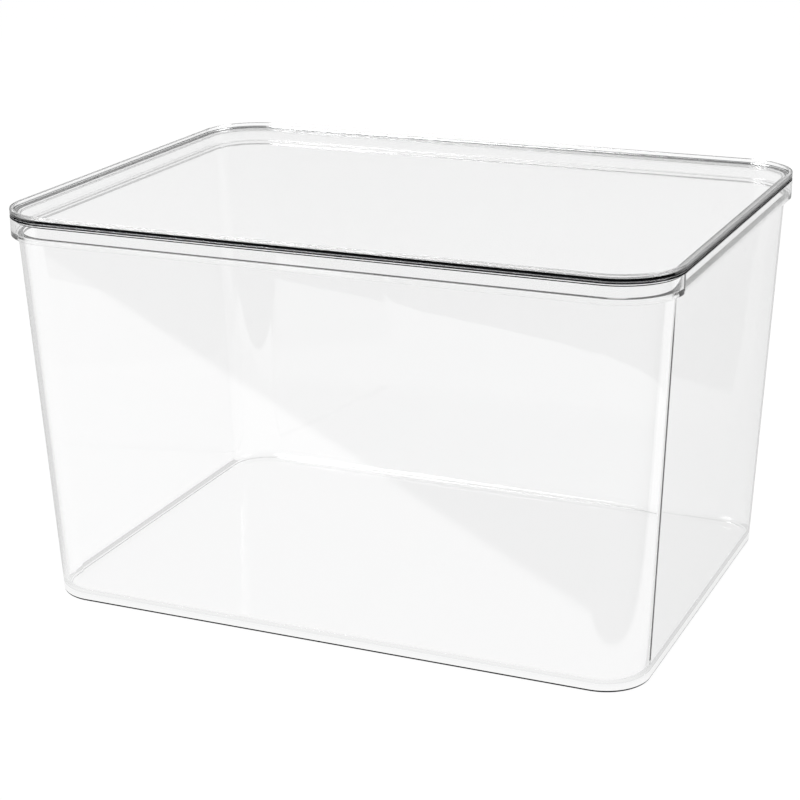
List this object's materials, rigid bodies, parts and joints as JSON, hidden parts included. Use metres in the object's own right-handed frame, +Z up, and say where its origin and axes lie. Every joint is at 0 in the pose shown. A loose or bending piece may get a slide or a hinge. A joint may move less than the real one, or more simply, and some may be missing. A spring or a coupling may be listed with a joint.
{
  "type": "storage box with lid",
  "caption": "Clear rounded storage box with drafted walls, a stepped-out collar and a lift-off lid whose low raised rim makes a shallow stacking tray.",
  "frame": {"origin": "centre of the underside, on the surface that the box stands on", "axes": "+X along the length to the right, -Y to the front, +Z up"},
  "size_m": [0.34, 0.254, 0.2034],
  "materials": {
    "clear_tub": "clear gloss",
    "clear_lid": "clear gloss"
  },
  "bodies": {
    "tub": {"tub": "clear_tub"},
    "lid": {"lid": "clear_lid"}
  },
  "joints": [
    {"name": "lid_lift", "type": "slide", "parent": "tub", "child": "lid", "axis": [0, 0, 1], "range_m": [0, 0.22]}
  ]
}
